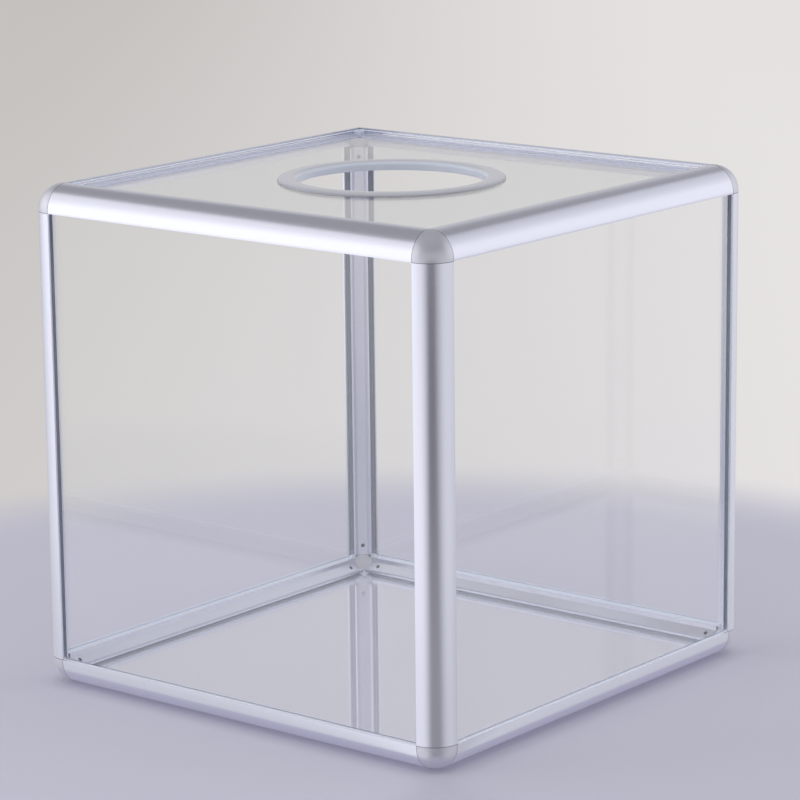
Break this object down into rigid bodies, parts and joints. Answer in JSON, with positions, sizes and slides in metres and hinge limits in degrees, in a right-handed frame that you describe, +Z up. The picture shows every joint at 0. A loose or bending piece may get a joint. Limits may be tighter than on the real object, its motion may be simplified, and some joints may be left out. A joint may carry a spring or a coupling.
{
  "type": "raffle box",
  "caption": "Clear box with a quarter-round aluminium edge frame, rounded plastic corners, clear panels held in slots, and a ringed round hand hole in its top.",
  "frame": {"origin": "middle of the footprint, on the surface that the box stands on", "axes": "+Z up through the hand hole; -Y is the front, the side at the left of the picture; +X is the side at its right"},
  "size_m": [0.3, 0.3, 0.3],
  "materials": {
    "anodised_aluminium": "satin silver anodising with fine lengthwise drawing lines",
    "connector_plastic": "matte grey moulded plastic",
    "clear_acrylic": "polished clear sheet",
    "ring_plastic": "glossy translucent grey plastic",
    "blackened_steel": "blackened steel"
  },
  "bodies": {
    "root": {"bottom_front_connectors": "connector_plastic", "bottom_front_rail": "anodised_aluminium", "bottom_left_rail": "anodised_aluminium", "bottom_panel": "clear_acrylic", "bottom_rear_connectors": "connector_plastic", "bottom_rear_rail": "anodised_aluminium", "bottom_right_rail": "anodised_aluminium", "front_left_post": "anodised_aluminium", "front_panel": "clear_acrylic", "front_right_post": "anodised_aluminium", "hand_hole_ring": "ring_plastic", "left_panel": "clear_acrylic", "rear_left_post": "anodised_aluminium", "rear_panel": "clear_acrylic", "rear_right_post": "anodised_aluminium", "right_panel": "clear_acrylic", "top_front_connectors": "connector_plastic", "top_front_rail": "anodised_aluminium", "top_left_rail": "anodised_aluminium", "top_panel": "clear_acrylic", "top_rear_connectors": "connector_plastic", "top_rear_rail": "anodised_aluminium", "top_right_rail": "anodised_aluminium"}
  },
  "joints": []
}
